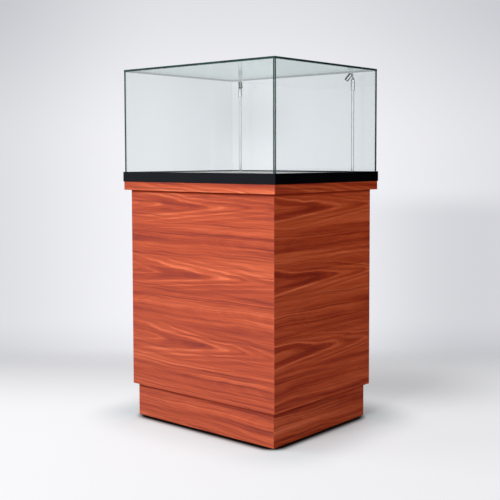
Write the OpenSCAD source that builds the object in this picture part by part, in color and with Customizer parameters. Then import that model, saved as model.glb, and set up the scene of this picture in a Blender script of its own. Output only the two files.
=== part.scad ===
// Pedestal display case: a lift-off glass hood on a black frame and deck, over a wood-laminate
// pedestal with a stepped-back plinth, a rear service door and two stem lamps inside the hood.
// Millimetres, +Z up, front towards -Y, origin on the floor under the middle of the case.

/* [Overall] */
// Outside width of the black frame, left to right
frame_w = 610; // [560:1:760]
// Outside depth of the black frame, front to back
frame_d = 508; // [470:1:640]
// Height of the glass hood above the top of the black frame
glass_h = 315; // [260:1:420]

/* [Pedestal boards] */
// Thickness of the laminated boards
board_t = 18; // [16:1:20]
// Height of the pedestal body, between plinth and collar
body_h = 610; // [580:1:700]
// How far the body's faces stand back under the collar
body_setback = 16; // [12:1:20]
// Height of the plinth boards
plinth_h = 100; // [85:1:120]
// How far the plinth's faces stand back under the body
plinth_setback = 12.5; // [9:0.5:14]
// Thickness of the collar board
collar_h = 26; // [25:1:32]
// How far the collar's edge stands back under the black frame
collar_setback = 2; // [1:0.5:4]
// Width of the eased outer corner where two boards meet in a mitre
arris = 0.8; // [0.4:0.1:1.5]
// Side of the square battens glued into the body's corners
batten_side = 25; // [20:1:30]
// Side of the square blocks glued into the plinth's corners
block_side = 70; // [60:1:80]

/* [Frame, deck and glass] */
// Height of the black frame
frame_h = 30; // [26:1:36]
// Width of a frame rail, across its groove
rail_w = 22; // [20:0.5:24]
// Thickness of the frame's lip outside the glass
glass_lip = 3.5; // [3:0.5:5]
// Depth of the groove that the glass stands in
groove_depth = 12; // [9:0.5:14]
// Width of the small chamfers along a frame rail
rail_chamfer = 0.8; // [0.4:0.1:1.2]
// Thickness of the glass panes
glass_t = 6; // [5:0.5:6.5]
// Gap between a glass face and the groove's wall
glass_gap = 0.5; // [0.3:0.1:0.6]
// Thickness of the soft strip under the glass
strip_t = 1.5; // [1:0.5:3]
// How far the deck lies below the frame's top
deck_recess = 3; // [1:0.5:5]
// Gap between the deck's edge and the frame
deck_gap = 0.5; // [0.3:0.1:1]

/* [Levelling feet] */
// Thickness of a foot's pad, which is the gap under the plinth
pad_t = 5; // [4:0.5:8]
// Diameter of a foot's pad
pad_d = 40; // [30:1:50]
// Diameter of a foot's threaded stud
stud_d = 8; // [6:1:10]
// Length of the stud above the pad
stud_l = 50; // [40:1:60]
// Length of a tee nut's barrel
tee_l = 12; // [9:1:15]
// Wall of a tee nut's barrel
tee_wall = 1.5; // [1.2:0.1:2]
// Diameter of a tee nut's flange
tee_flange_d = 22; // [20:1:26]
// Thickness of a tee nut's flange
tee_flange_t = 1.5; // [1:0.5:2]

/* [Rear door] */
// Width of the rear door
door_w = 400; // [340:1:420]
// Height of the rear door
door_h = 440; // [360:1:450]
// Height of the lower back rail, below the door opening
door_sill = 83; // [75:1:90]
// Gap all round the door
door_gap = 2; // [2:0.1:3]
// Length of a hinge
hinge_l = 60; // [50:5:75]
// Distance from a door end to its hinge
hinge_inset = 60; // [40:1:80]
// Thickness of a hinge leaf
leaf_t = 0.9; // [0.7:0.05:0.95]
// How far a hinge leaf reaches over the board's edge
leaf_reach = 15; // [13:1:15]
// Outside diameter of a hinge knuckle
knuckle_d = 7; // [6:0.5:8]
// Diameter of a hinge pin
hinge_pin_d = 3; // [2.5:0.25:4]

/* [Lock] */
// Distance from the door's free edge to the middle of the lock
lock_inset = 30; // [26:1:36]
// Diameter of the lock's barrel
barrel_d = 19; // [18:0.5:21]
// Diameter of the lock's turning plug
plug_d = 13; // [11:0.5:14]
// Diameter of the lock's outside flange
barrel_flange_d = 24; // [23:1:27]
// Width across the flats of the lock's nut
lock_nut_af = 24; // [23:1:26]
// Thickness of the lock's nut
lock_nut_t = 4; // [3:0.5:5]
// Width of the lock's cam
cam_w = 12; // [10:1:14]
// How far the cam reaches past the edge of the door opening when locked
cam_catch = 9; // [6:1:14]
// Thickness of the cam
cam_t = 2; // [1.5:0.5:3]

/* [Stem lamps] */
// Distance from the frame's side face to a lamp's stem
lamp_side_inset = 72; // [66:1:110]
// Distance from the frame's back face to a lamp's stem
lamp_back_inset = 36; // [35:1:60]
// Distance from the top pane down to a lamp's tilt pin
lamp_drop = 10; // [9:0.5:30]
// Diameter of a lamp's stem
stem_d = 8; // [7:0.5:9]
// Wall of the stem's tube
stem_wall = 1; // [0.8:0.1:1.5]
// Diameter of the swivel sleeve on the stem
sleeve_d = 12; // [11.5:0.5:12.5]
// Length of the sleeve below its shoulder
sleeve_l = 32; // [26:1:45]
// Height of the sleeve's conical shoulder
shoulder_h = 8; // [6:0.5:9]
// Distance from the tilt pin down to the shoulder's tip
neck_l = 8; // [7.5:0.5:10]
// Distance from the stem's axis to the tilt pin
arm_reach = 7.5; // [7.5:0.5:9]
// Thickness of the swan-neck arm
arm_t = 2.6; // [2:0.2:3.2]
// Width of the swan-neck arm
arm_w = 3; // [2.5:0.25:3.5]
// Diameter of the arm's eye
eye_d = 6; // [5.5:0.5:6.5]
// Diameter of the tilt pin
tilt_pin_d = 2.4; // [2:0.2:3]
// Diameter of the lamp head
head_d = 13.5; // [13:0.5:14.5]
// Length of the lamp head in front of the tilt pin
head_l = 22; // [20:1:26]
// Angle of the lamp head below level at rest
head_tilt = 52; // [45:1:58]
// Diameter of the flange that stands on the deck
lamp_flange_d = 16; // [14:1:20]
// Thickness of the flange that stands on the deck
lamp_flange_t = 1.5; // [1:0.5:3]
// Diameter of the threaded shank under the flange
shank_d = 10; // [10:0.5:12]
// Width across the flats of the nut under the collar board
lamp_nut_af = 16; // [15:1:18]
// Thickness of the nut under the collar board
lamp_nut_t = 6; // [5:0.5:8]
// Depth of the pocket that hides the nut
nut_pocket = 12; // [10:1:13]
// Width and depth of the wire channel from the pocket into the body
wire_channel = 8; // [6:1:9]

/* [Driver and cable outlet] */
// Length of the lamp driver's case, between its ears
driver_l = 110; // [90:5:140]
// Width of the lamp driver's case
driver_w = 38; // [30:1:50]
// Height of the lamp driver's case
driver_h = 24; // [20:1:30]
// Bore of the cable outlet's ring
outlet_bore = 24; // [16:1:26]
// Wall of the cable outlet's ring
outlet_wall = 3; // [2:0.5:4]
// Distance from the body's side face to the middle of the cable outlet
outlet_inset = 97; // [87:1:130]
// Height of the cable outlet above the floor panel
outlet_rise = 30; // [24:1:34]

/* [Screws] */
// Diameter of the wood screws
screw_d = 3.5; // [3:0.25:4]
// Diameter of a wood screw's head
screw_head_d = 6.8; // [6:0.2:6.8]
// How far a wood screw goes into the piece that it holds
screw_bite = 14; // [10:1:16]
// Length of the small screws in the hinges
hinge_screw_l = 16; // [12:1:20]

/* [Hidden] */
$fn = 64;

// Overhangs: every outline is worked out from the black frame inwards
collar_w = frame_w - 2 * collar_setback;
collar_d = frame_d - 2 * collar_setback;
body_w = collar_w - 2 * body_setback;
body_d = collar_d - 2 * body_setback;
plinth_w = body_w - 2 * plinth_setback;
plinth_d = body_d - 2 * plinth_setback;
glass_w = frame_w - 2 * (glass_lip + glass_gap);
glass_d = frame_d - 2 * (glass_lip + glass_gap);

// Heights, from the floor up
plinth_z = pad_t;
body_z = plinth_z + plinth_h;
floor_top = body_z + board_t;
collar_z = body_z + body_h;
frame_z = collar_z + collar_h;
frame_top = frame_z + frame_h;
deck_top = frame_top - deck_recess;
groove_z = frame_top - groove_depth;
pane_z = groove_z + strip_t;
hood_top = frame_top + glass_h;
pane_top = hood_top - glass_t;

// Faces inside the body
inner_x = body_w / 2 - board_t;
inner_y = body_d / 2 - board_t;
back_y = body_d / 2;

// Clearance round a part that turns or screws in, round a part that only passes through, an overlap
// that joins two cuts, and how far a cutting shape runs past the face that it cuts
fit = 0.05;
bond = 0.1;
tiny = 0.01;
cut = 1;

// Sides of the case: the turn that brings the front face to each side
SIDES = ["front", "right", "back", "left"];
function side_turn(side) = 90 * search([side], SIDES)[0];
function side_is_long(side) = side == "front" || side == "back";
function side_length(side, w, d) = side_is_long(side) ? w : d;
function side_distance(side, w, d) = (side_is_long(side) ? d : w) / 2;

// Plan of one mitred board of length l and thickness t, with its outer corners eased by c
function mitred_plan(l, t, c) = [
    [-l / 2 + c / 2, c / 2], [-l / 2 + c, 0], [l / 2 - c, 0], [l / 2 - c / 2, c / 2],
    [l / 2 - t, t], [-l / 2 + t, t]
];

// Puts its children, drawn for the front, on one side of a w by d rectangle
module on_side(side, w, d) {
    rotate([0, 0, side_turn(side)])
        translate([0, -side_distance(side, w, d), 0])
            children();
}

// One board of a four-sided mitred ring
module mitred_board(side, w, d, z, h, t, c) {
    on_side(side, w, d)
        translate([0, 0, z])
            linear_extrude(h)
                polygon(mitred_plan(side_length(side, w, d), t, c));
}

// Copies its children to the four corners at x, y
module at_corners(x, y) {
    for (sx = [-1, 1], sy = [-1, 1])
        translate([sx * x, sy * y, 0])
            children();
}

// A countersunk wood screw, head flush with z = 0 and pointing down; swell widens it into its hole
module wood_screw(l, swell = 0) {
    head_h = (screw_head_d - screw_d) / 2;
    tip_h = screw_d;
    translate([0, 0, -head_h])
        cylinder(h = head_h, d1 = screw_d + 2 * swell, d2 = screw_head_d + 2 * swell, $fn = 24);
    translate([0, 0, -l + tip_h])
        cylinder(h = l - tip_h - head_h, d = screw_d + 2 * swell, $fn = 24);
    translate([0, 0, -l - swell])
        cylinder(h = tip_h + swell, d1 = screw_d / 4, d2 = screw_d + 2 * swell, $fn = 24);
}

// ---- Plinth and feet ----

block_x = plinth_w / 2 - board_t - block_side / 2;
block_y = plinth_d / 2 - board_t - block_side / 2;
stud_hole_d = stud_d + 1;
tee_bore_d = stud_d + 2 * fit;
tee_d = tee_bore_d + 2 * tee_wall;
stud_room = 2;

module plinth_board(side) {
    color([0.62, 0.24, 0.15])
        mitred_board(side, plinth_w, plinth_d, plinth_z, plinth_h, board_t, arris);
}

// Two screws per block come down through the floor panel, clear of the stud and the battens
floor_screw_shift = block_side * 0.3;
floor_screw_l = board_t + screw_bite;
module floor_screws(swell = 0) {
    for (sx = [-1, 1], sy = [-1, 1]) {
        translate([sx * (block_x - floor_screw_shift), sy * block_y, floor_top])
            wood_screw(floor_screw_l, swell);
        translate([sx * block_x, sy * (block_y - floor_screw_shift), floor_top])
            wood_screw(floor_screw_l, swell);
    }
}

module plinth_corner_blocks() {
    color([0.80, 0.66, 0.46])
        difference() {
            at_corners(block_x, block_y)
                translate([-block_side / 2, -block_side / 2, plinth_z])
                    cube([block_side, block_side, plinth_h]);
            at_corners(block_x, block_y)
                tee_nut_seat();
            floor_screws(fit);
        }
}

// Stepped hole for a tee nut and the stud above it
module tee_nut_seat() {
    translate([0, 0, plinth_z - tiny])
        cylinder(h = tee_flange_t + tiny, d = tee_flange_d + 2 * bond);
    translate([0, 0, plinth_z])
        cylinder(h = tee_l, d = tee_d + 2 * bond);
    translate([0, 0, plinth_z])
        cylinder(h = stud_l + stud_room, d = stud_hole_d);
}

module tee_nuts() {
    color([0.74, 0.75, 0.77])
        at_corners(block_x, block_y)
            translate([0, 0, plinth_z])
                difference() {
                    union() {
                        cylinder(h = tee_flange_t, d = tee_flange_d);
                        cylinder(h = tee_l, d = tee_d);
                    }
                    translate([0, 0, -tiny])
                        cylinder(h = tee_l + 2 * tiny, d = tee_bore_d);
                }
}

// A moulded pad with a rounded-off lower rim on a threaded stud with a pointed end
module foot(sx, sy) {
    rim = 1.2;
    color([0.12, 0.12, 0.13])
        translate([sx * block_x, sy * block_y, 0])
            rotate_extrude()
                polygon([
                    [0, 0], [pad_d / 2 - rim, 0], [pad_d / 2, rim], [pad_d / 2, pad_t - rim / 2],
                    [pad_d / 2 - rim / 2, pad_t], [stud_d / 2, pad_t], [stud_d / 2, pad_t + stud_l - rim],
                    [stud_d / 2 - rim, pad_t + stud_l], [0, pad_t + stud_l]
                ]);
}

// ---- Pedestal body ----

module wall_panel(side) {
    color([0.66, 0.26, 0.16])
        mitred_board(side, body_w, body_d, body_z, body_h, board_t, arris);
}

module floor_panel() {
    color([0.72, 0.60, 0.44])
        difference() {
            translate([-inner_x, -inner_y, body_z])
                cube([2 * inner_x, 2 * inner_y, board_t]);
            floor_screws(fit);
        }
}

batten_x = inner_x - batten_side / 2;
batten_y = inner_y - batten_side / 2;
collar_screw_l = collar_h + screw_bite;

module corner_battens() {
    color([0.80, 0.66, 0.46])
        difference() {
            at_corners(batten_x, batten_y)
                translate([-batten_side / 2, -batten_side / 2, floor_top])
                    cube([batten_side, batten_side, collar_z - floor_top]);
            collar_screws(fit);
        }
}

// ---- Rear door, hinges and lock ----

opening_w = door_w + 2 * door_gap;
opening_h = door_h + 2 * door_gap;
opening_z = body_z + door_sill;
opening_top = opening_z + opening_h;
door_z = opening_z + door_gap;
lock_x = -door_w / 2 + lock_inset;
lock_z = door_z + door_h / 2;
outlet_d = outlet_bore + 2 * outlet_wall;
outlet_x = body_w / 2 - outlet_inset;
outlet_z = floor_top + outlet_rise;

// The back is framed round the door opening: rails below and above it, butted to a stile at each side
module back_rails() {
    color([0.66, 0.26, 0.16])
        difference() {
            union() {
                mitred_board("back", body_w, body_d, body_z, opening_z - body_z, board_t, arris);
                mitred_board("back", body_w, body_d, opening_top, collar_z - opening_top, board_t, arris);
            }
            cable_outlet_hole();
        }
}

module back_stiles() {
    color([0.66, 0.26, 0.16])
        difference() {
            mitred_board("back", body_w, body_d, opening_z, opening_h, board_t, arris);
            translate([-opening_w / 2, back_y - board_t - cut, opening_z - cut])
                cube([opening_w, board_t + 2 * cut, opening_h + 2 * cut]);
            hinge_screws(1, fit);
        }
}

module rear_door() {
    color([0.66, 0.26, 0.16])
        difference() {
            translate([-door_w / 2, back_y - board_t, door_z])
                cube([door_w, board_t, door_h]);
            at_lock()
                translate([0, 0, -board_t - cut])
                    cylinder(h = board_t + 2 * cut, d = barrel_d + 2 * bond);
            hinge_screws(-1, fit);
        }
}

// Hinge axis: just outside the back face, in the middle of the gap beside the door
hinge_x = door_w / 2 + door_gap / 2;
knuckle_gap = 0.3;
hinge_y = back_y + knuckle_d / 2 + knuckle_gap;
knuckles = 5;
pin_cap_t = 1;
knuckle_l = (hinge_l - (knuckles - 1) * knuckle_gap) / knuckles;
leaf_screws = 3;
leaf_plane = door_gap / 2;

// Heights of the lower ends of the two hinges
HINGE_Z = [door_z + hinge_inset, door_z + door_h - hinge_inset - hinge_l];

// Both leaves of one kind: toward = 1 for those on the back panel, -1 for those on the door
module hinge_leaves(toward) {
    first = toward > 0 ? 0 : 1;
    color([0.78, 0.79, 0.81])
        for (z = HINGE_Z)
            translate([hinge_x, hinge_y, z])
                difference() {
                    union() {
                        leaf_plate(toward, back_y - leaf_reach, back_y, 0, hinge_l);
                        for (i = [first : 2 : knuckles - 1]) {
                            zi = i * (knuckle_l + knuckle_gap);
                            leaf_plate(toward, back_y - 1, hinge_y, zi, knuckle_l);
                            translate([0, 0, zi])
                                cylinder(h = knuckle_l, d = knuckle_d);
                        }
                    }
                    translate([0, 0, -cut])
                        cylinder(h = hinge_l + 2 * cut, d = hinge_pin_d + 2 * fit);
                    for (i = [0 : leaf_screws - 1])
                        leaf_screw_place(toward, i)
                            wood_screw(hinge_screw_l, fit);
                }
}

// Flat strip of a leaf from y1 to y2 in the row's frame, against the board that carries it
module leaf_plate(toward, y1, y2, z, h) {
    translate([toward > 0 ? leaf_plane - leaf_t : -leaf_plane, y1 - hinge_y, z])
        cube([leaf_t, y2 - y1, h]);
}

// Place of screw i in a leaf, its head flush with the leaf's free face
module leaf_screw_place(toward, i) {
    pitch = hinge_l / leaf_screws;
    translate([toward * (leaf_plane - leaf_t), back_y - leaf_reach / 2 - hinge_y, pitch * (i + 0.5)])
        rotate([0, -90 * toward, 0])
            children();
}

module hinge_screws(toward, swell = 0) {
    color([0.74, 0.75, 0.77])
        for (z = HINGE_Z, i = [0 : leaf_screws - 1])
            translate([hinge_x, hinge_y, z])
                leaf_screw_place(toward, i)
                    wood_screw(hinge_screw_l, swell);
}

module hinge_pins() {
    color([0.78, 0.79, 0.81])
        for (z = HINGE_Z)
            translate([hinge_x, hinge_y, z - pin_cap_t])
                union() {
                    cylinder(h = hinge_l + 2 * pin_cap_t, d = hinge_pin_d);
                    cylinder(h = pin_cap_t - knuckle_gap / 3, d = knuckle_d - pin_cap_t);
                    translate([0, 0, hinge_l + pin_cap_t + knuckle_gap / 3])
                        cylinder(h = pin_cap_t, d = knuckle_d - pin_cap_t);
                }
}

// Lock: z = 0 on the door's outside face, +z out of the door
module at_lock() {
    translate([lock_x, back_y, lock_z])
        rotate([-90, 0, 0])
            children();
}

barrel_spare = 2;
barrel_l = board_t + lock_nut_t + barrel_spare;
plug_bore_d = plug_d + 2 * fit;
plug_tail_l = cam_t + 3;
plug_tail_side = plug_d / 2;
cam_gap = 1.2;
cam_hub_z = -barrel_l - 0.2;
barrel_flange_t = 2;

module lock_barrel() {
    color([0.82, 0.83, 0.85])
        at_lock()
            difference() {
                union() {
                    cylinder(h = barrel_flange_t, d = barrel_flange_d);
                    translate([0, 0, -barrel_l])
                        cylinder(h = barrel_l, d = barrel_d);
                }
                translate([0, 0, -barrel_l - cut])
                    cylinder(h = barrel_l + barrel_flange_t + 2 * cut, d = plug_bore_d);
            }
}

module lock_nut() {
    color([0.74, 0.75, 0.77])
        at_lock()
            translate([0, 0, -board_t - lock_nut_t])
                difference() {
                    cylinder(h = lock_nut_t, d = lock_nut_af / cos(30), $fn = 6);
                    translate([0, 0, -cut])
                        cylinder(h = lock_nut_t + 2 * cut, d = barrel_d + 2 * bond);
                }
}

// Turning plug with its key slot, and a squared tail that drives the cam
module lock_plug() {
    key_w = 2;
    key_h = 8;
    key_depth = 12;
    color([0.70, 0.71, 0.73])
        at_lock()
            difference() {
                union() {
                    translate([0, 0, -barrel_l])
                        cylinder(h = barrel_l + barrel_flange_t, d = plug_d);
                    translate([-plug_tail_side / 2, -plug_tail_side / 2, -barrel_l - plug_tail_l])
                        cube([plug_tail_side, plug_tail_side, plug_tail_l + 1]);
                }
                translate([-key_w / 2, -key_h / 2, barrel_flange_t - key_depth])
                    cube([key_w, key_h, key_depth + cut]);
            }
}

// Cranked cam, pointing up when unlocked: its outline in height and depth, cut to the cam's width
module lock_cam() {
    reach = lock_inset + door_gap + cam_catch;
    crank = -cam_hub_z - board_t - cam_gap - cam_t;
    knee = lock_nut_af / cos(30) / 2 + 2;
    color([0.74, 0.75, 0.77])
        at_lock()
            difference() {
                intersection() {
                    translate([cam_w / 2, 0, cam_hub_z])
                        rotate([0, -90, 0])
                            linear_extrude(cam_w)
                                polygon([
                                    [-cam_t, cam_w / 2], [-cam_t, -knee], [crank - cam_t, -knee - crank],
                                    [crank - cam_t, -reach], [crank, -reach], [crank, -knee - crank],
                                    [0, -knee], [0, cam_w / 2]
                                ]);
                    translate([0, 0, cam_hub_z - cam_t - 1])
                        linear_extrude(crank + cam_t + 2)
                            union() {
                                circle(d = cam_w);
                                translate([-cam_w / 2, -reach + cam_w / 2])
                                    square([cam_w, reach - cam_w / 2]);
                                translate([0, -reach + cam_w / 2])
                                    circle(d = cam_w);
                            }
                }
                translate([-plug_tail_side / 2 - fit, -plug_tail_side / 2 - fit, cam_hub_z - cam_t - 2])
                    cube([plug_tail_side + 2 * fit, plug_tail_side + 2 * fit, cam_t + 4]);
            }
}

// ---- Cable outlet ----

outlet_flange_t = 2;
outlet_flange = 3;

module at_outlet() {
    translate([-outlet_x, back_y, outlet_z])
        rotate([-90, 0, 0])
            children();
}

module cable_outlet_hole() {
    at_outlet()
        translate([0, 0, -board_t - cut])
            cylinder(h = board_t + 2 * cut, d = outlet_d + 2 * bond);
}

// Turned ring: a sleeve through the board with a flange outside and an eased mouth
module cable_outlet() {
    ease = outlet_wall / 2;
    color([0.12, 0.12, 0.13])
        at_outlet()
            rotate_extrude()
                polygon([
                    [outlet_bore / 2, -board_t], [outlet_d / 2, -board_t], [outlet_d / 2, 0],
                    [outlet_d / 2 + outlet_flange, 0],
                    [outlet_d / 2 + outlet_flange - outlet_flange_t / 2, outlet_flange_t],
                    [outlet_bore / 2 + ease, outlet_flange_t],
                    [outlet_bore / 2, outlet_flange_t - ease]
                ]);
}

// ---- Collar board, deck and their screws ----

lamp_x = frame_w / 2 - lamp_side_inset;
lamp_y = frame_d / 2 - lamp_back_inset;
pocket_d = lamp_nut_af / cos(30) + 3;
shank_hole_d = shank_d + 2 * bond;

module collar_screws(swell = 0) {
    at_corners(batten_x, batten_y)
        translate([0, 0, frame_z])
            wood_screw(collar_screw_l, swell);
}

// Six screws come up from inside the body through the collar board into the deck
deck_screw_inset = 70;
deck_screw_x = inner_x - deck_screw_inset;
deck_screw_y = inner_y - deck_screw_inset;
module deck_screws(swell = 0) {
    for (x = [-deck_screw_x, 0, deck_screw_x], y = [-deck_screw_y, deck_screw_y])
        translate([x, y, collar_z])
            mirror([0, 0, 1])
                wood_screw(collar_screw_l, swell);
}

// Screws down through the groove of each rail, under the glazing strips
groove_mid = glass_lip + glass_gap + glass_t / 2;
rail_screw_l = groove_z - frame_z + screw_bite;
rail_screw_inset = 60;
module rail_screws(swell = 0) {
    for (side = SIDES) {
        half = side_length(side, frame_w, frame_d) / 2 - rail_screw_inset;
        on_side(side, frame_w, frame_d)
            for (x = [-half, 0, half])
                translate([x, groove_mid, groove_z])
                    wood_screw(rail_screw_l, swell);
    }
}

module cabinet_screws() {
    color([0.74, 0.75, 0.77])
        union() {
            floor_screws();
            collar_screws();
            deck_screws();
            rail_screws();
        }
}

module at_lamps() {
    for (sx = [-1, 1])
        translate([sx * lamp_x, lamp_y, 0])
            children();
}

module collar_board() {
    channel_l = lamp_y - inner_y + 2 * pocket_d;
    color([0.66, 0.26, 0.16])
        difference() {
            translate([0, 0, collar_z])
                linear_extrude(collar_h)
                    eased_rectangle(collar_w, collar_d);
            collar_screws(fit);
            deck_screws(fit);
            rail_screws(fit);
            driver_screws(fit);
            at_lamps()
                translate([0, 0, collar_z - cut]) {
                    cylinder(h = collar_h + 2 * cut, d = shank_hole_d);
                    cylinder(h = nut_pocket + cut, d = pocket_d);
                    translate([-wire_channel / 2, -channel_l, 0])
                        cube([wire_channel, channel_l, wire_channel + cut]);
                }
        }
}

// Rectangle with small corner chamfers
module eased_rectangle(w, d) {
    polygon([
        [-w / 2 + arris, -d / 2], [w / 2 - arris, -d / 2], [w / 2, -d / 2 + arris], [w / 2, d / 2 - arris],
        [w / 2 - arris, d / 2], [-w / 2 + arris, d / 2], [-w / 2, d / 2 - arris], [-w / 2, -d / 2 + arris]
    ]);
}

module deck_board() {
    deck_w = frame_w - 2 * rail_w - 2 * deck_gap;
    deck_d = frame_d - 2 * rail_w - 2 * deck_gap;
    color([0.10, 0.10, 0.11])
        difference() {
            translate([-deck_w / 2, -deck_d / 2, frame_z])
                cube([deck_w, deck_d, deck_top - frame_z]);
            deck_screws(fit);
            at_lamps()
                translate([0, 0, frame_z - cut])
                    cylinder(h = frame_h + 2 * cut, d = shank_hole_d);
        }
}

// ---- Black frame and glazing strips ----

groove_far = glass_lip + glass_t + 2 * glass_gap;

// Section of a rail: y runs inwards from the outer face, z up from the collar
module rail_section() {
    c = rail_chamfer;
    floor_h = groove_z - frame_z;
    polygon([
        [c, 0], [rail_w, 0], [rail_w, frame_h - c], [rail_w - c, frame_h], [groove_far, frame_h],
        [groove_far, floor_h], [glass_lip, floor_h], [glass_lip, frame_h], [c, frame_h],
        [0, frame_h - c], [0, c]
    ]);
}

module frame_rail(side) {
    l = side_length(side, frame_w, frame_d);
    color([0.07, 0.07, 0.08])
        difference() {
            intersection() {
                on_side(side, frame_w, frame_d)
                    translate([l / 2, 0, frame_z])
                        rotate([90, 0, -90])
                            linear_extrude(l)
                                mirror([1, 0, 0])
                                    rail_section();
                mitred_board(side, frame_w, frame_d, frame_z - cut, frame_h + 2 * cut, rail_w + cut, arris);
            }
            rail_screws(fit);
        }
}

// Four soft strips in the grooves, the short ones cut off square between the long ones
module glazing_strips() {
    cut_gap = 0.3;
    color([0.15, 0.15, 0.15])
        for (side = SIDES) {
            l = side_length(side, glass_w, glass_d) - (side_is_long(side) ? 0 : 2 * (glass_t + cut_gap));
            on_side(side, glass_w, glass_d)
                translate([-l / 2, 0, groove_z])
                    cube([l, glass_t, strip_t]);
        }
}

// ---- Glass hood ----

glass_arris = 0.6;

module glass_side(side) {
    color([0.75, 0.90, 0.86, 0.35])
        mitred_board(side, glass_w, glass_d, pane_z, pane_top - pane_z, glass_t, glass_arris);
}

// The top pane lies over the side panes, its polished edge eased above and below
module glass_top() {
    a = glass_arris;
    color([0.75, 0.90, 0.86, 0.35])
        intersection() {
            translate([0, glass_d / 2, pane_top])
                rotate([90, 0, 0])
                    linear_extrude(glass_d)
                        pane_edge(glass_w, a);
            translate([-glass_w / 2, 0, pane_top])
                rotate([90, 0, 90])
                    linear_extrude(glass_w)
                        pane_edge(glass_d, a);
        }
}

module pane_edge(w, a) {
    polygon([
        [-w / 2 + a, 0], [w / 2 - a, 0], [w / 2, a], [w / 2, glass_t - a],
        [w / 2 - a, glass_t], [-w / 2 + a, glass_t], [-w / 2, glass_t - a], [-w / 2, a]
    ]);
}

// ---- Stem lamps ----

pivot_z = pane_top - lamp_drop;
shoulder_top = pivot_z - neck_l;
sleeve_top = shoulder_top - shoulder_h;
sleeve_z = sleeve_top - sleeve_l;
sleeve_cap = 4;
stem_top = sleeve_top - sleeve_cap;
stem_seat = 22;
stem_z = deck_top - stem_seat;
stem_bore_d = stem_d - 2 * stem_wall;
shank_recess = 2;
shank_z = collar_z + shank_recess;
tip_d = 4.4;
tenon_l = 5;
cheek_gap = 0.2;
pin_fit_d = tilt_pin_d + 2 * fit;
head_tail = 3;
head_wall = 1.5;

// Each lamp is drawn at the origin aiming along +X, then aimed from its corner at the middle of the deck
module place_lamp(sx) {
    translate([sx * lamp_x, lamp_y, 0])
        rotate([0, 0, atan2(-lamp_y, -sx * lamp_x)])
            children();
}

// Flange on the deck with a hollow threaded shank that goes down to the nut pocket
module lamp_base() {
    color([0.86, 0.87, 0.89])
        rotate_extrude()
            polygon([
                [stem_bore_d / 2, shank_z], [shank_d / 2, shank_z], [shank_d / 2, deck_top],
                [lamp_flange_d / 2, deck_top], [lamp_flange_d / 2, deck_top + lamp_flange_t * 0.4],
                [stem_d / 2 + 1, deck_top + lamp_flange_t], [stem_d / 2 + bond / 2, deck_top + lamp_flange_t],
                [stem_d / 2 + bond / 2, stem_z], [stem_bore_d / 2, stem_z]
            ]);
}

// Flanged nuts in the pockets under the collar board
module lamp_nuts() {
    top = collar_z + nut_pocket;
    washer_t = 1.2;
    color([0.74, 0.75, 0.77])
        at_lamps()
            translate([0, 0, top - lamp_nut_t - washer_t])
                difference() {
                    union() {
                        cylinder(h = lamp_nut_t + washer_t, d = lamp_nut_af / cos(30), $fn = 6);
                        translate([0, 0, lamp_nut_t])
                            cylinder(h = washer_t, d = pocket_d - 1);
                    }
                    translate([0, 0, -cut])
                        cylinder(h = lamp_nut_t + washer_t + 2 * cut, d = shank_d + 2 * fit);
                }
}

module lamp_stem() {
    color([0.86, 0.87, 0.89])
        translate([0, 0, stem_z])
            difference() {
                cylinder(h = stem_top - stem_z, d = stem_d);
                translate([0, 0, -cut])
                    cylinder(h = stem_top - stem_z + 2 * cut, d = stem_bore_d);
            }
}

// Swivel sleeve: it rests on the stem's end and turns on it, with a conical shoulder above
module lamp_sleeve() {
    ease = 0.6;
    bore = stem_d / 2 + fit;
    tenon = arm_t / 2 + fit;
    color([0.86, 0.87, 0.89])
        rotate_extrude()
            polygon([
                [bore, sleeve_z], [sleeve_d / 2 - ease, sleeve_z], [sleeve_d / 2, sleeve_z + ease],
                [sleeve_d / 2, sleeve_top], [tip_d / 2, shoulder_top], [tenon, shoulder_top],
                [tenon, shoulder_top - tenon_l - fit], [0, shoulder_top - tenon_l - fit],
                [0, stem_top], [bore, stem_top]
            ]);
}

// Flat swan-neck arm: a neck, a half-ring over to the eye, and a round tenon in the sleeve's tip
module lamp_arm() {
    bend = arm_reach / 2;
    color([0.80, 0.81, 0.83])
        union() {
            translate([0, arm_t / 2, pivot_z])
                rotate([90, 0, 0])
                    linear_extrude(arm_t)
                        difference() {
                            union() {
                                translate([-arm_w / 2, -neck_l])
                                    square([arm_w, neck_l]);
                                translate([bend, 0])
                                    difference() {
                                        circle(r = bend + arm_w / 2);
                                        circle(r = bend - arm_w / 2);
                                        translate([-arm_reach, -arm_reach])
                                            square([2 * arm_reach, arm_reach]);
                                    }
                                translate([arm_reach, 0])
                                    circle(d = eye_d);
                            }
                            translate([arm_reach, 0])
                                circle(d = tilt_pin_d + bond, $fn = 24);
                        }
            translate([0, 0, shoulder_top - tenon_l])
                cylinder(h = tenon_l + arm_t / 2, d = arm_t - 2 * tiny, $fn = 32);
        }
}

// Places its children at the tilt pin, with +Z along the way the head points
module at_head() {
    translate([arm_reach, 0, pivot_z])
        rotate([0, 90 + head_tilt, 0])
            children();
}

module lamp_pin() {
    color([0.70, 0.71, 0.73])
        translate([arm_reach, 0, pivot_z])
            rotate([90, 0, 0])
                cylinder(h = head_d - 2 * head_wall, d = tilt_pin_d, center = true, $fn = 24);
}

lens_d = head_d - 2 * head_wall;
lens_t = 1.5;
lens_setback = 1;
lens_seat = 1;
lens_back = head_l - lens_setback - lens_t;
cup_depth = 9;
cup_z = head_l - cup_depth;

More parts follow.
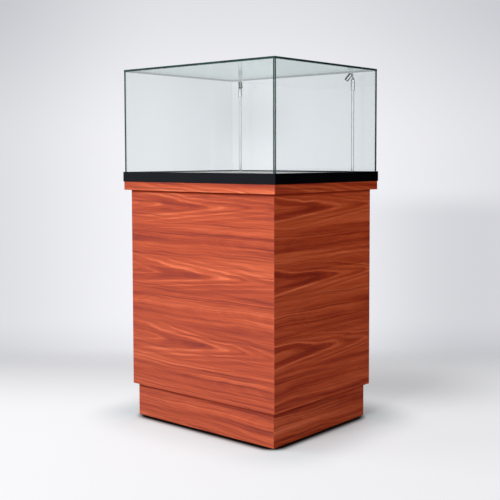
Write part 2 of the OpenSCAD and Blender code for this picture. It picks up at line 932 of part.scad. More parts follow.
// Turned head: eased tail, two cooling grooves, a cup in front, and a slot at the back for the arm's eye
module lamp_head() {
    r = head_d / 2;
    groove = 0.6;
    ring = 1;
    tail_ease = 2;
    rim_ease = 0.6;
    slot_w = arm_t + 2 * cheek_gap;
    slot_end = eye_d / 2 + 2 * cheek_gap;
    g = slot_end + 2 * ring;
    color([0.86, 0.87, 0.89])
        at_head()
            difference() {
                rotate_extrude()
                    polygon([
                        [0, -head_tail], [r - tail_ease, -head_tail], [r, tail_ease - head_tail],
                        [r, g], [r - groove, g], [r - groove, g + ring], [r, g + ring],
                        [r, g + 2 * ring], [r - groove, g + 2 * ring],
                        [r - groove, g + 3 * ring], [r, g + 3 * ring],
                        [r, head_l - rim_ease], [r - rim_ease, head_l], [lens_d / 2, head_l],
                        [lens_d / 2, lens_back], [lens_d / 2 - lens_seat, lens_back],
                        [lens_d / 2 - lens_seat, cup_z], [0, cup_z]
                    ]);
                translate([-head_d, -slot_w / 2, -head_tail - cut])
                    cube([2 * head_d, slot_w, head_tail + cut + slot_end]);
                rotate([90, 0, 0])
                    cylinder(h = head_d + 2 * cut, d = pin_fit_d, center = true, $fn = 24);
            }
}

module lamp_lens() {
    color([0.92, 0.95, 0.97, 0.5])
        at_head()
            translate([0, 0, lens_back])
                cylinder(h = lens_t, d = lens_d - 2 * fit);
}

// Round board at the bottom of the cup, with a low light chip on it
module lamp_led() {
    board_h = 1.2;
    chip_d = 4;
    chip_h = 1;
    color([0.95, 0.85, 0.45])
        at_head()
            translate([0, 0, cup_z])
                union() {
                    cylinder(h = board_h, d = lens_d - 2 * (lens_seat + bond));
                    cylinder(h = board_h + chip_h, d = chip_d);
                }
}

// ---- Lamp driver ----

ear_l = 12;
ear_t = 3;
driver_y = -inner_y / 2;
driver_z = collar_z - driver_h;
socket_d = 6;
socket_depth = 8;

module driver_screws(swell = 0) {
    color([0.74, 0.75, 0.77])
        for (sx = [-1, 1])
            translate([sx * (driver_l / 2 + ear_l / 2), driver_y, collar_z - ear_t])
                mirror([0, 0, 1])
                    wood_screw(ear_t + screw_bite, swell);
}

// Case with two screw ears under the collar board, an inlet at one end and two lamp sockets at the other
module lamp_driver() {
    c = 2;
    color([0.90, 0.90, 0.88])
        difference() {
            union() {
                translate([-driver_l / 2, driver_y, driver_z])
                    rotate([90, 0, 90])
                        linear_extrude(driver_l)
                            polygon([
                                [-driver_w / 2, driver_h], [-driver_w / 2, c], [-driver_w / 2 + c, 0],
                                [driver_w / 2 - c, 0], [driver_w / 2, c], [driver_w / 2, driver_h]
                            ]);
                translate([-driver_l / 2 - ear_l, driver_y - driver_w / 4, collar_z - ear_t])
                    cube([driver_l + 2 * ear_l, driver_w / 2, ear_t]);
            }
            driver_screws(fit);
            for (s = [-1, 1])
                translate([driver_l / 2 - socket_depth, driver_y + s * driver_w / 5, driver_z + driver_h / 3])
                    rotate([0, 90, 0])
                        cylinder(h = socket_depth + cut, d = socket_d, $fn = 24);
            translate([-driver_l / 2 - cut, driver_y - driver_w / 5, driver_z + driver_h / 6])
                cube([socket_depth + cut, driver_w / 2.5, driver_h / 2.5]);
        }
}

// ---- Whole case, one line per node ----

plinth_board("front");  // plinth_front
plinth_board("right");  // plinth_right
plinth_board("back");  // plinth_back
plinth_board("left");  // plinth_left
plinth_corner_blocks();
tee_nuts();
foot(-1, -1);  // foot_front_left
foot(1, -1);  // foot_front_right
foot(-1, 1);  // foot_back_left
foot(1, 1);  // foot_back_right
floor_panel();
wall_panel("front");  // front_panel
wall_panel("right");  // right_panel
wall_panel("left");  // left_panel
back_rails();
back_stiles();
corner_battens();
rear_door();
hinge_leaves(1);  // hinge_frame_leaves
hinge_leaves(-1);  // hinge_door_leaves
hinge_pins();
hinge_screws(1);  // hinge_frame_screws
hinge_screws(-1);  // hinge_door_screws
lock_barrel();
lock_nut();
lock_plug();
lock_cam();
cable_outlet();
collar_board();
deck_board();
cabinet_screws();
frame_rail("front");  // frame_front
frame_rail("right");  // frame_right
frame_rail("back");  // frame_back
frame_rail("left");  // frame_left
glazing_strips();
glass_side("front");  // glass_front
glass_side("right");  // glass_right
glass_side("back");  // glass_back
glass_side("left");  // glass_left
glass_top();
lamp_driver();
driver_screws();
lamp_nuts();
place_lamp(1) lamp_base();  // right_lamp_base
place_lamp(1) lamp_stem();  // right_lamp_stem
place_lamp(1) lamp_sleeve();  // right_lamp_sleeve
place_lamp(1) lamp_arm();  // right_lamp_arm
place_lamp(1) lamp_pin();  // right_lamp_pin
place_lamp(1) lamp_head();  // right_lamp_head
place_lamp(1) lamp_lens();  // right_lamp_lens
place_lamp(1) lamp_led();  // right_lamp_led
place_lamp(-1) lamp_base();  // left_lamp_base
place_lamp(-1) lamp_stem();  // left_lamp_stem
place_lamp(-1) lamp_sleeve();  // left_lamp_sleeve
place_lamp(-1) lamp_arm();  // left_lamp_arm
place_lamp(-1) lamp_pin();  // left_lamp_pin
place_lamp(-1) lamp_head();  // left_lamp_head
place_lamp(-1) lamp_lens();  // left_lamp_lens
place_lamp(-1) lamp_led();  // left_lamp_led
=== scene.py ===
import math

import bmesh
import bpy
from mathutils import Matrix, Vector

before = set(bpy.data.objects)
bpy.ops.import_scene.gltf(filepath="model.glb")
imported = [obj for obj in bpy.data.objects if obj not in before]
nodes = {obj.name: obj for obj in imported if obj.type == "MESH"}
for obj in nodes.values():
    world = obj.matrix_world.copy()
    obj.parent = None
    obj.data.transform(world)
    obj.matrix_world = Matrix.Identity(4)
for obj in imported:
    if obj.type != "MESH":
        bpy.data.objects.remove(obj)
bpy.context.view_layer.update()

# ---- Camera ----
# A nearly level studio view of the case's front and right faces, from a little above the glass hood's foot.
# The lens is moved down on its plate, so the uprights stay nearly upright in the picture.
camera_spot = (1.8734, -2.1822, 0.8147)
lens_mm, sensor_mm = 66.516, 36
shift_down = 0.0745
turn, dip, roll = math.radians(40.68), 0.0598, -0.0026
backward = Vector((math.sin(turn) * math.cos(dip), -math.cos(turn) * math.cos(dip), math.sin(dip)))
level_right = (-backward).cross(Vector((0, 0, 1))).normalized()
level_up = level_right.cross(-backward)
right = math.cos(roll) * level_right + math.sin(roll) * level_up
up = math.cos(roll) * level_up - math.sin(roll) * level_right
camera = bpy.data.objects.new("camera", bpy.data.cameras.new("camera"))
camera.data.sensor_width = sensor_mm
camera.data.lens = lens_mm
camera.data.shift_y = -shift_down
turned = Matrix((right, up, backward)).transposed().to_4x4()
camera.matrix_world = Matrix.Translation(camera_spot) @ turned
bpy.context.scene.collection.objects.link(camera)
bpy.context.scene.camera = camera
bpy.context.scene.view_settings.view_transform = "Standard"


# ---- Studio ----
# A pale seamless room: the floor melts into the backdrop, the window light comes from the front left,
# and the far right is dim, so the case's right side is in shade as in the photograph.
class Pattern:
    """A shader socket that joins others by plain arithmetic, each step a Math node."""

    def __init__(self, tree, socket=None):
        self.tree, self.socket = tree, socket

    def make(self, kind, settings=None, sockets=None, output=0):
        node = self.tree.nodes.new("ShaderNode" + kind)
        for name, value in (settings or {}).items():
            if name == "stops":
                ramp = node.color_ramp
                for at, colour in value[1:-1]:
                    ramp.elements.new(at)
                for element, (at, colour) in zip(ramp.elements, value):
                    element.position, element.color = at, (*colour, 1)
            else:
                setattr(node, name, value)
        for name, value in (sockets or {}).items():
            if isinstance(value, Pattern):
                self.tree.links.new(value.socket, node.inputs[name])
            elif isinstance(value, tuple) and len(value) == 3 and node.inputs[name].type == "RGBA":
                node.inputs[name].default_value = (*value, 1)
            else:
                node.inputs[name].default_value = value
        return Pattern(self.tree, node.outputs[output] if len(node.outputs) else None)

    def math(self, operation, *values):
        return self.make("Math", {"operation": operation}, dict(enumerate(values)))

    def __add__(self, other): return self.math("ADD", self, other)
    def __sub__(self, other): return self.math("SUBTRACT", self, other)
    def __rsub__(self, other): return self.math("SUBTRACT", other, self)
    def __mul__(self, other): return self.math("MULTIPLY", self, other)
    def __truediv__(self, other): return self.math("DIVIDE", self, other)
    def __rtruediv__(self, other): return self.math("DIVIDE", other, self)
    __radd__, __rmul__ = __add__, __mul__

    def above(self, limit): return self.math("GREATER_THAN", self, limit)
    def size(self): return self.math("ABSOLUTE", self)

    def ramp(self, low, high, start=0.0, end=1.0):
        return self.make("MapRange", {"interpolation_type": "SMOOTHSTEP"},
                         {"Value": self, "From Min": low, "From Max": high, "To Min": start, "To Max": end})

    def blend(self, first, second):
        return self.make("Mix", {"data_type": "RGBA"}, {0: self, 6: first, 7: second}, 2)


def linear(*rgb):
    """A colour of the usual 0 to 255 steps as the light that it stands for."""
    return tuple(((c / 255 + 0.055) / 1.055) ** 2.4 if c > 10 else c / 255 / 12.92 for c in rgb)


def start_material(name):
    material = bpy.data.materials.new(name)
    material.use_nodes = True
    material.node_tree.nodes.clear()
    return material, Pattern(material.node_tree)


def finish_material(material, shader):
    shader.make("OutputMaterial", None, {"Surface": shader})
    return material


def place(pattern):
    """The Object coordinates of a piece."""
    return pattern.make("TexCoord", output=3)


def axes(whole):
    """A place or a direction as its x, y and z."""
    return tuple(whole.make("SeparateXYZ", None, {0: whole}, i) for i in range(3))


def principled(pattern, **sockets):
    return pattern.make("BsdfPrincipled", None, {k.replace("_", " "): v for k, v in sockets.items()})


def mix(factor, first, second):
    """Two shaders, the second one where the factor is 1."""
    return factor.make("MixShader", None, {0: factor, 1: first, 2: second})


# The picture's right as a level direction; straight away from the camera lies at a right angle to it.
right_x, right_y = 0.758, 0.652
black = (0.0, 0.0, 0.0)

room_light = 0.30
world = bpy.data.worlds.new("studio")
world.use_nodes = True
world.node_tree.nodes.clear()
air = Pattern(world.node_tree)
seen, shiny, through = (air.make("LightPath", output=ray) for ray in (0, 3, 6))
way_x, way_y, way_z = axes(air.make("TexCoord", output=0))
to_right = way_x * right_x + way_y * right_y
to_back = way_y * right_x - way_x * right_y
# The wall behind is painted with light and shade: a pool of light a little left of the case, dimmer to the sides,
# above and along the cove, with painted soft shade low on the right and in one tall and one round patch, which
# show through the glass.
pool_left_by = 0.087
side_gloom, top_gloom, cove_gloom, low_right_shade_gloom = 0.66, 0.56, 0.30, 0.38
tall_shade_gloom, round_shade_gloom = 0.20, 0.30
off_pool = to_right + pool_left_by
to_side = off_pool.math("MAXIMUM", off_pool - 0.12, off_pool * -1.5).ramp(-0.02, 0.36) * side_gloom
to_top = way_z.ramp(0.0, 0.21) * top_gloom
low_right_shade = ((to_right - 0.21).size().ramp(0.0, 0.16, low_right_shade_gloom, 0.0)
             * way_z.ramp(-0.065, -0.03, 1.0, 0.0))
tall_shade = ((to_right + 0.043).size().ramp(0.004, 0.070, tall_shade_gloom, 0.0)
              * way_z.ramp(0.085, 0.10, 1.0, 0.0))
round_shade = ((to_right - 0.003).size().ramp(0.0, 0.062, round_shade_gloom, 0.0)
               * (way_z - 0.042).size().ramp(0.005, 0.045, 1.0, 0.0))
by_cove = way_z.ramp(-0.215, -0.165, cove_gloom, 0.0)
gloom = to_side + to_top + low_right_shade + tall_shade + round_shade + by_cove
wall = gloom.blend(linear(246, 246, 251), linear(200, 201, 206))
# What shiny parts mirror: a pale room with black flags beside the case, so that metal gets thin dark edges.
behind = to_back + to_right * 0.22
flags = behind.ramp(-0.12, 0.0) * behind.ramp(0.90, 0.985, 1.0, 0.16)
high_and_low = way_z.size().ramp(0.26, 0.46)
flags = flags.math("MAXIMUM", flags, high_and_low) * way_z.ramp(0.50, 0.80, 1.0, 0.72)
mirrored = flags.blend((0.99, 0.995, 1.0), black)
# What lights matt parts: the same room without its rear half.
shaded = (behind.ramp(-0.24, -0.12) * 0.95).blend((0.97, 0.98, 1.0), black)
plain_sky = air.make("Background", None, {"Color": shaded, "Strength": room_light})
seen_sky = air.make("Background", None, {"Color": wall, "Strength": 1.0})
glossy_sky = air.make("Background", None, {"Color": mirrored, "Strength": 1.0})
sky = mix(seen.math("MAXIMUM", seen, through), mix(shiny, plain_sky, glossy_sky), seen_sky)
sky.make("OutputWorld", None, {"Surface": sky})
bpy.context.scene.world = world

case_middle = Vector((0, 0, 0.55))
studio_lights = (  # name, place, watts, side of the square
    ("window_light", (0.3, -3.8, 2.1), 104, 1.6),
    ("left_light", (-2.0, -1.7, 2.6), 30, 1.4),
    ("soft_fill", (-0.5, 2.6, 3.1), 23, 2.0),
    ("right_fill", (2.7, 0.9, 1.7), 20, 1.6),
)
for name, spot, watts, side in studio_lights:
    light = bpy.data.objects.new(name, bpy.data.lights.new(name, "AREA"))
    light.data.shape, light.data.size, light.data.energy = "SQUARE", side, watts
    light.location = spot
    light.visible_glossy = False
    light.rotation_euler = (case_middle - light.location).to_track_quat("-Z", "Y").to_euler()
    bpy.context.scene.collection.objects.link(light)

# The floor: pale matt paper with a painted contact shadow by the plinth and a painted cool tint around the case;
# it clears away into the wall far behind.
plinth_half_w, plinth_half_d = 0.2745, 0.2235
floor_radius, floor_sides = 9, 96
floor_mesh = bpy.data.meshes.new("floor")
made = bmesh.new()
bmesh.ops.create_circle(made, cap_ends=True, segments=floor_sides, radius=floor_radius)
made.to_mesh(floor_mesh)
made.free()
floor = bpy.data.objects.new("floor", floor_mesh)
bpy.context.scene.collection.objects.link(floor)
paint, pattern = start_material("studio_floor")
x, y, z = axes(place(pattern))
floor_right = x * right_x + y * right_y
to_cove = y * right_x - x * right_y
corner_round = 0.040
over_x, over_y = (way.math("MAXIMUM", way.size() - (half - corner_round), 0.0)
                  for way, half in ((x, plinth_half_w), (y, plinth_half_d)))
from_case = over_x.math("SQRT", over_x * over_x + over_y * over_y) - corner_round
# Close by the plinth the paper is painted nearly black as a painted contact shadow; a little further out it is
# painted cooler, against the red light the wood throws on it.
paper_cooled_against_bounce = from_case.ramp(0.02, 0.26).blend(linear(241, 252, 255), linear(250, 253, 255))
paper_with_painted_shadow = from_case.ramp(0.001, 0.030).blend(linear(12, 6, 6), paper_cooled_against_bounce)
matt = principled(pattern, Base_Color=paper_with_painted_shadow, Roughness=0.8)
# Seen by the camera, the paper is lifted towards a glow, more on the left than on the right, with painted shade
# towards the cove and a painted shadow behind the case on the right; less so by the plinth, to keep its shadow.
far_dusk = to_cove.ramp(0.0, 1.0) * 0.36
side_dusk = ((to_cove - 0.36).size().ramp(0.0, 0.40, 0.24, 0.0)
             * (floor_right - 0.52).size().ramp(0.05, 0.50, 1.0, 0.0))
glow_tone = (far_dusk + side_dusk).blend((0.978, 0.974, 1.0), black)
glow = pattern.make("Emission", None, {"Color": glow_tone, "Strength": 1.0})
floor_seen, floor_shiny = (pattern.make("LightPath", output=ray) for ray in (0, 3))
full_lift = 0.73
close_lift = floor_right.ramp(-0.1, 0.3, 0.43, 0.14) * to_cove.ramp(-0.10, 0.10, 1.0, 0.35)
lift = from_case.ramp(0.0, 0.05) * close_lift + from_case.ramp(0.03, 0.22) * (full_lift - close_lift)
lift = lift * floor_right.ramp(-0.7, 0.6, 1.17, 0.83)
clear = pattern.make("BsdfTransparent", None, {"Color": (1, 1, 1)})
open_wall = to_cove.math("MAXIMUM", to_cove.ramp(0.60, 1.10), floor_shiny)
floor_mesh.materials.append(finish_material(paint, mix(open_wall, mix(floor_seen * lift, matt, glow), clear)))


# ---- Laminated boards ----
# Plinth, body, rear door and collar are boards faced with cherry-red laminate, its grain running level.
# Each figure is what a saw leaves of slightly tapering yearly rings: nested arches over a dark heart.
def dress(material, *names):
    """Puts a material on every slot of the named CAD nodes."""
    for name in names:
        for slot in nodes[name].material_slots:
            slot.material = material


def noise(whole, scale, detail=3.0, stretch=(1, 1, 1), shift=(0, 0, 0), roughness=0.5):
    """Cloudy pattern from 0 to 1, drawn out along an axis by a small stretch."""
    moved = whole.make("Mapping", None, {"Vector": whole, "Location": shift, "Scale": stretch})
    return whole.make("TexNoise", None, {"Vector": moved, "Scale": scale, "Detail": detail,
                                         "Roughness": roughness})


def bump(height, strength, distance):
    return height.make("Bump", None, {"Height": height, "Strength": strength, "Distance": distance})


body_half_w, body_half_d, body_top = 0.287, 0.236, 0.715
collar_half_w, collar_half_d = 0.303, 0.252
plinth_top = 0.105
figure_pitch, heart_width, taper = 0.205, 0.006, 0.088
laminate_skin, core_skin = 0.0021, 0.018
no_board_above = 9.0
# How light each yearly ring is, from the innermost arch of a figure outwards.
ring_tones = [(0.00, 0.50), (0.06, 0.42), (0.12, 0.56), (0.17, 0.44), (0.21, 0.74), (0.25, 0.40), (0.29, 0.22),
              (0.36, 0.24), (0.405, 0.46), (0.44, 0.90), (0.475, 0.66), (0.51, 0.40), (0.54, 0.54), (0.565, 0.80),
              (0.60, 0.54), (0.64, 0.42), (0.68, 0.70), (0.72, 0.48), (0.80, 0.58), (0.95, 0.50)]
ring_span = 0.10
cherry_tones = [(0.14, linear(118, 24, 6)), (0.34, linear(152, 44, 14)), (0.53, linear(180, 68, 28)),
                (0.72, linear(202, 87, 46)), (0.96, linear(232, 118, 76))]


def laminate(name, along, outer, first_heart, seed, edge, rim=None, skin=laminate_skin, top=no_board_above,
             shade=0.01, strength=1.0, fine=0.86, shade_strength=0.95):
    """Laminate on the face that lies `outer` along the way `edge`, grain along `along`; a rim is edged too.

    Without a way, `outer` holds the two half sizes of a board that is edged all round.
    """
    material, pattern = start_material(name)
    whole = place(pattern)
    x, y, z = axes(whole)
    if edge:
        u = x * along[0] + y * along[1]
        inward = outer - (x * edge[0] + y * edge[1])
    else:
        on_side = (x.size() - (outer[0] - 0.0015)).above(0)
        u = x + on_side * (y - x)
        inward = x.math("MINIMUM", outer[0] - x.size(), outer[1] - y.size())
    if rim:
        rim_half_w, rim_half_h, rim_middle, rim_way = rim
        beyond = x.math("MAXIMUM", x.size() - rim_half_w, (z - rim_middle).size() - rim_half_h)
        inward = x.math("MINIMUM", inward, beyond * rim_way)

    # How far a point lies from the heart of its figure, and in which yearly ring.
    drift = noise(whole, 1.0, 2, (2.2, 2.2, 5.0), (seed, seed * 1.7, seed * 0.6)) - 0.5
    sway = noise(whole, 1.0, 3, (7.0, 7.0, 30.0), (seed * 2.3, seed, 4.1)) - 0.5
    height = z + drift * 0.030 + sway * 0.014 + u * 0.012
    turn_of_figure = (height - first_heart) * (math.pi / figure_pitch)
    across = turn_of_figure.math("SINE", turn_of_figure) * (figure_pitch / math.pi)
    reach = across.math("SQRT", across * across + heart_width * heart_width)
    ring = reach + u * taper + drift * 0.012 + sway * 0.010
    between = reach.ramp(0.030, 0.056)
    figure = 1.0 - between

    def streaks(level, along_scale, across_scale, detail, third):
        spot = pattern.make("CombineXYZ", None, {0: u * along_scale, 1: level * across_scale, 2: third})
        return noise(spot, 1.0, detail, roughness=0.6) - 0.5

    # Light and dark: arches and fine lines along the rings, level streaks between the figures.
    stops = [(at, (v, v, v)) for at, v in ring_tones]
    arches = pattern.make("ValToRGB", {"stops": stops}, {0: (ring + 0.03) / ring_span})
    arches = arches.make("RGBToBW", None, {0: arches}) - 0.5
    vivid = streaks(ring, 6.0, 40, 2, seed + 2).ramp(-0.22, 0.16, 0.35, 1.25)
    narrow, thin = streaks(ring, 2.0, 170, 3, seed + 7), streaks(ring, 3.2, 480, 3, seed + 13)
    level, lines = streaks(height, 1.3, 52, 3, seed + 4), streaks(height, 1.5, 190, 3, seed + 8)
    broad = streaks(height, 0.8, 15, 1, seed + 21)
    tone_step = 0.52 + arches * vivid * figure * u.ramp(-0.27, -0.02, 0.5, 1.0) * strength
    tone_step = tone_step + (narrow * 0.70 + thin * 0.60) * (figure * 0.6 + 0.4) * fine
    tone_step = tone_step + broad * 0.45 + level * (between * 0.58 + 0.58)
    tone_step = tone_step + lines * (between * 0.55 + 0.35) * fine
    # On the collar, painted light brightens the faces towards their lower edge and painted shade darkens the end
    # faces.
    if not edge:
        lower_lip_light = (1 - on_side) * z.ramp(0.732, 0.718, 0.0, 0.16)
        tone_step = tone_step + lower_lip_light - on_side * 0.07

    # Colour: the cherry tones, dark lines, pale and dark fibres, pores.
    fibre = noise(whole, 1.0, 5, (16, 16, 820), (2, seed, 5), 0.65)
    pore = noise(whole, 1.0, 2, (40, 40, 1700), (seed, 9, 2)).ramp(0.66, 0.76)
    tone = pattern.make("ValToRGB", {"stops": cherry_tones}, {0: tone_step})
    tone = (lines.ramp(-0.05, -0.16) * 0.55 * fine).blend(tone, linear(112, 30, 12))
    tone = (fibre.ramp(0.48, 0.75) * 0.16).blend(tone, linear(212, 108, 68))
    tone = (fibre.ramp(0.52, 0.28) * 0.18).blend(tone, linear(116, 32, 14))
    tone = (pore * 0.30).blend(tone, linear(84, 24, 16))
    gloss = fibre.ramp(0.2, 0.8, 0.32, 0.40)
    relief = bump(fibre * 0.7 - pore, 0.10, 0.0003)
    face = principled(pattern, Base_Color=tone, Roughness=gloss, Normal=relief, Specular_IOR_Level=0.55)

    # Under the piece that stands out above it, the board is painted in a close dull shade, a darker matt band
    # standing in for that piece's shadow.
    painted_shade_tone = fibre.ramp(0.2, 0.8, 0.86, 0.72).blend(tone, linear(112, 22, 8))
    dull = principled(pattern, Base_Color=painted_shade_tone, Roughness=0.9, Specular_IOR_Level=0.0)
    face = mix(z.ramp(top - shade, top - shade * 0.2) * shade_strength, face, dull)

    # Behind its skin the board is raw fibreboard.
    grain = noise(whole, 1.0, 5, (260, 260, 260), (1, 2, seed))
    core_tone = grain.ramp(0.3, 0.7).blend(linear(150, 122, 92), linear(176, 148, 114))
    core = principled(pattern, Base_Color=core_tone, Roughness=0.85, Normal=bump(grain, 0.2, 0.0003))
    return finish_material(material, mix(inward.above(skin), face, core))


# Half width, half height and middle of the opening and of the door in it, and on which side of it the board is.
doorway_rim, door_rim = (0.202, 0.222, 0.41, 1), (0.2, 0.22, 0.41, -1)
body_heart, plinth_heart, collar_heart = 0.262, -0.030, 0.690
back_seed = 9.1
tiers = (  # name, half width, half depth, heart, top, depth and strength of the shade, shift of the seeds
    ("panel", body_half_w, body_half_d, body_heart, body_top, 0.011, 0.95, 0),
    ("plinth", plinth_half_w, plinth_half_d, plinth_heart, plinth_top, 0.018, 0.70, 3.1),
)
for tier, w, d, heart, top, shade, shade_strength, shift in tiers:
    for seed, side, along, edge, outer in (
            (1.0, "front", (1, 0), (0, -1), d), (5.3, "right", (0, 1), (1, 0), w),
            (back_seed, "back", (-1, 0), (0, 1), d), (13.7, "left", (0, -1), (-1, 0), w)):
        cad_names, rim = ["plinth_" + side], None
        if tier == "panel":
            cad_names = [side + "_panel"]
        if tier == "panel" and side == "back":
            cad_names, rim = ["back_rails", "back_stiles"], doorway_rim
        strength, fine = (0.80, 0.66) if side == "right" else (1.0, 0.86)
        dress(laminate(f"{tier}_{side}", along, outer, heart, seed + shift, edge, rim, top=top, shade=shade,
                       strength=strength, fine=fine, shade_strength=shade_strength), *cad_names)
dress(laminate("door_face", (-1, 0), body_half_d, body_heart, back_seed, (0, 1), door_rim), "rear_door")
dress(laminate("collar_edge", None, (collar_half_w, collar_half_d), collar_heart, 21.5, None, skin=core_skin),
      "collar_board")


# ---- Timber inside the case ----
# Planed softwood battens and blocks hold the boards square, their yearly rings standing as soft stripes.
# A raw fibreboard floor, flecked and matt, lies in the body.
def softwood(name, light, dark, pitch, lie):
    material, pattern = start_material(name)
    whole = place(pattern)
    x, y, z = axes(whole)
    wander = noise(whole, 3.0, 3, lie)
    growth = (x + y * 0.6) / pitch + wander * 5
    rings = growth.math("FRACT", growth)
    fibre = noise(whole, 1.0, 4, tuple(500 * v for v in lie))
    tone = (rings * 0.6 + fibre * 0.4).ramp(0.2, 0.9).blend(light, dark)
    relief = bump(fibre, 0.15, 0.0003)
    return finish_material(material, principled(pattern, Base_Color=tone, Roughness=0.7, Normal=relief))


ring_pitch = 0.006
dress(softwood("planed_pine", linear(214, 178, 128), linear(176, 130, 80), ring_pitch, (1, 1, 0.04)),
      "plinth_corner_blocks", "corner_battens")
material, pattern = start_material("raw_fibreboard")
fleck = noise(place(pattern), 420, 4)
tone = fleck.ramp(0.35, 0.65).blend(linear(150, 122, 92), linear(178, 150, 116))
dress(finish_material(material, principled(pattern, Base_Color=tone, Roughness=0.85,
                                           Normal=bump(fleck, 0.2, 0.0003))), "floor_panel")


# ---- Black frame and deck ----
# The frame's four mitred rails are painted satin black; the deck inside is black laminate, a little glossier,
# so that it mirrors the pale room at a low angle. The soft strips and the outlet ring are black as well.
def black_finish(name, base, cloud_tone, dull, bright, grain_scale, strength, shine):
    material, pattern = start_material(name)
    whole = place(pattern)
    grain = noise(whole, grain_scale, 3)
    cloud = noise(whole, 9, 3)
    tone = cloud.ramp(0.3, 0.7).blend(base, cloud_tone)
    dullness = cloud.ramp(0.25, 0.75, bright, dull)
    cool = (0.74, 0.79, 1.0, 1.0)
    return finish_material(material, principled(
        pattern, Base_Color=tone, Roughness=dullness, Specular_IOR_Level=shine, Specular_Tint=cool,
        Normal=bump(grain, strength, 0.0002)))


dress(black_finish("satin_black_paint", linear(4, 4, 6), linear(6, 6, 8), 0.36, 0.28, 900, 0.10, 0.22),
      "frame_front", "frame_right", "frame_back", "frame_left")
dress(black_finish("black_deck_laminate", linear(9, 9, 11), linear(12, 12, 14), 0.22, 0.15, 1500, 0.015, 0.5),
      "deck_board")
dress(black_finish("foam_rubber", linear(24, 24, 25), linear(32, 32, 33), 0.95, 0.85, 1300, 0.5, 0.3),
      "glazing_strips")
dress(black_finish("moulded_black_plastic", linear(22, 22, 24), linear(28, 28, 30), 0.6, 0.5, 1100, 0.25, 0.4),
      "cable_outlet")


# ---- Glass hood ----
# Five panes of 6 mm float glass, mitred and bonded at the corners. Seen through an edge the glass is dark
# green, so the top pane's rim and the bonded corners draw dark lines round a nearly clear box.
glass_half_w, glass_half_d = 0.301, 0.250
pane_foot, pane_top = 0.7605, 1.080
face_slack = 0.0003


def pane(name, tint, slant_tint, shine, edge_of):
    material, pattern = start_material(name)
    whole = place(pattern)
    facing = pattern.make("LayerWeight", None, {"Blend": 0.5}, 1)
    mirror = facing.math("POWER", facing, 5.0) * shine + 0.04
    haze = noise(whole, 60, 4).ramp(0.3, 0.8, 0.01, 0.03)
    straight = pattern.make("BsdfTransparent", None, {"Color": tint})
    slanting = pattern.make("BsdfTransparent", None, {"Color": slant_tint})
    clear = mix(facing.math("POWER", facing, 4.0), straight, slanting)
    sheen = principled(pattern, Base_Color=(1, 1, 1), Metallic=1.0, Roughness=haze)
    sheet = mix(mirror, clear, sheen)
    tone = noise(whole, 40, 2).ramp(0.3, 0.7).blend(linear(20, 44, 40), linear(40, 68, 62))
    rim = principled(pattern, Base_Color=tone, Roughness=0.16, Specular_IOR_Level=0.15)
    return finish_material(material, mix(edge_of(pattern, *axes(whole)), sheet, rim))


def rim_of_top(pattern, x, y, z):
    """The far edges, seen through the clear pane, are paler than the near ones."""
    from_behind = pattern.make("NewGeometry", output=6)
    at_rim = x.math("MAXIMUM", x.size() - glass_half_w, y.size() - glass_half_d).above(-0.0007)
    return at_rim * (1 - from_behind * 0.42)


def rim_of_side(pattern, x, y, z):
    """The bond shows through the outer faces by the corner; from inside, only the mitre itself does."""
    from_end, from_face = glass_half_w - x.size(), glass_half_d - y.size()
    from_corner = x.math("MAXIMUM", from_end, from_face)
    outside = (face_slack - x.math("MINIMUM", from_end, from_face)).above(0)
    front = 1 - pattern.make("NewGeometry", output=6)
    # Along the very corner the bond is painted lighter, a painted highlight of the eased arris.
    arris_highlight = (0.0014 - from_corner).above(0)
    # The two corners at the picture's flanks, and most of all the right one, show more of their bond.
    bond_width = 0.0058 + (x * y).above(0) * (0.0022 + x.above(0) * 0.0022)
    bond = (bond_width - from_corner).above(0) * outside * front * (0.97 - arris_highlight * 0.50)
    mitre = (0.00025 - (from_end - from_face).size()).above(0) * (0.0061 - from_corner).above(0) * 0.10
    cut_edge = x.math("MAXIMUM", z - pane_top, pane_foot - z).above(-0.0004) * 0.35
    return x.math("MAXIMUM", x.math("MAXIMUM", bond, mitre), cut_edge)


dress(pane("glass_lid", (0.968, 0.980, 0.977), (0.795, 0.845, 0.850), 0.36, rim_of_top), "glass_top")
dress(pane("glass_long_side", (0.962, 0.976, 0.973), (0.80, 0.85, 0.84), 0.96, rim_of_side),
      "glass_front", "glass_back")
dress(pane("glass_short_side", (0.980, 0.992, 0.990), (0.80, 0.85, 0.84), 0.96, rim_of_side),
      "glass_right", "glass_left")


# ---- Metal parts ----
# Chrome-plated lamps and lock, satin steel arms and pins, zinc-plated hinges, screws, nuts and cam:
# each with the fine marks of its making.
def metal(name, light, dark, smooth, rough, scale, stretch, strength, metallic=1.0):
    material, pattern = start_material(name)
    whole = place(pattern)
    marks = noise(whole, scale, 4, stretch)
    cloud = noise(whole, 35, 3)
    tone = cloud.ramp(0.3, 0.7).blend(light, dark)
    dullness = (marks * 0.6 + cloud * 0.4).ramp(0.2, 0.8, smooth, rough)
    return finish_material(material, principled(
        pattern, Base_Color=tone, Metallic=metallic, Roughness=dullness, Normal=bump(marks, strength, 0.0001)))


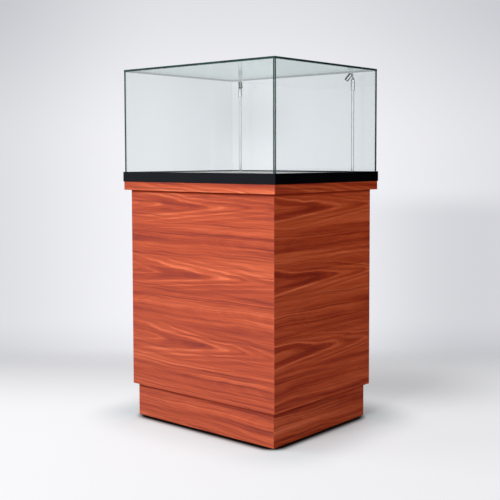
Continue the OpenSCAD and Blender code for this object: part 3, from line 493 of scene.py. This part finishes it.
lamp_parts = [f"{side}_lamp_{part}" for side in ("right", "left") for part in ("base", "stem", "sleeve", "head")]
dress(metal("lamp_chrome", linear(250, 250, 253), linear(240, 241, 244), 0.05, 0.10, 700, (1, 1, 0.1), 0.03),
      *lamp_parts)
dress(metal("satin_steel", linear(196, 198, 202), linear(170, 172, 176), 0.22, 0.36, 800, (1, 1, 1), 0.08),
      "right_lamp_arm", "left_lamp_arm", "right_lamp_pin", "left_lamp_pin")
dress(metal("lock_chrome", linear(222, 222, 226), linear(204, 204, 208), 0.16, 0.30, 900, (1, 0.1, 1), 0.04, 0.6),
      "lock_barrel", "lock_plug")
dress(metal("zinc_plate", linear(196, 198, 202), linear(160, 163, 172), 0.26, 0.48, 300, (1, 1, 1), 0.12),
      "tee_nuts", "hinge_frame_leaves", "hinge_door_leaves", "hinge_pins", "hinge_frame_screws",
      "hinge_door_screws", "cabinet_screws", "driver_screws", "lamp_nuts", "lock_nut", "lock_cam")


# ---- Lamp fronts ----
# A clear pressed lens, faintly rippled, sits in each head.
# Behind it lies a pale yellow light chip.
material, pattern = start_material("lens_glass")
facing = pattern.make("LayerWeight", None, {"Blend": 0.5}, 1)
ripple = noise(place(pattern), 900, 2)
clear = pattern.make("BsdfTransparent", None, {"Color": (0.94, 0.96, 0.97)})
sheen = principled(pattern, Base_Color=(1, 1, 1), Metallic=1.0, Roughness=0.06, Normal=bump(ripple, 0.2, 0.0002))
mirror = facing.math("POWER", facing, 5.0) * 0.94 + 0.06
dress(finish_material(material, mix(mirror, clear, sheen)), "right_lamp_lens", "left_lamp_lens")


def speckled(name, light, dark, dullness, grain_scale, detail, strength, distance):
    """A plain colour with a fine raised speckle."""
    material, pattern = start_material(name)
    grain = noise(place(pattern), grain_scale, detail)
    tone = grain.ramp(0.3, 0.7).blend(light, dark)
    return finish_material(material, principled(
        pattern, Base_Color=tone, Roughness=dullness, Normal=bump(grain, strength, distance)))


dress(speckled("light_chip", linear(244, 232, 176), linear(230, 208, 120), 0.5, 1400, 3, 0.2, 0.0001),
      "right_lamp_led", "left_lamp_led")


# ---- Lamp driver ----
# A white moulded case with a fine spark texture,
# hung by two ears under the collar board.
dress(speckled("white_case", linear(226, 226, 222), linear(212, 212, 207), 0.55, 1600, 4, 0.3, 0.0002),
      "lamp_driver")


# ---- Levelling feet ----
# Black moulded pads on zinc-plated threaded studs;
# the thread's turns show as fine level rings.
pad_top, thread_pitch = 0.0051, 0.00125
material, pattern = start_material("foot_pad_and_stud")
whole = place(pattern)
x, y, z = axes(whole)
grain = noise(whole, 1000, 3)
pad = principled(pattern, Base_Color=grain.ramp(0.3, 0.7).blend(linear(20, 20, 22), linear(28, 28, 30)),
                 Roughness=0.6, Normal=bump(grain, 0.25, 0.0002))
# The stud's colour runs in level bands, painted darker in the thread's roots as shade and lighter on its crests
# as light.
thread = z * (math.tau / thread_pitch)
turns = thread.math("SINE", thread)
stud = principled(pattern, Base_Color=turns.ramp(-1, 1).blend(linear(120, 122, 128), linear(198, 200, 205)),
                  Metallic=1.0, Roughness=0.35, Normal=bump(turns, 0.6, 0.0003))
dress(finish_material(material, mix(z.above(pad_top), pad, stud)),
      *[f"foot_{end}_{side}" for end in ("front", "back") for side in ("left", "right")])
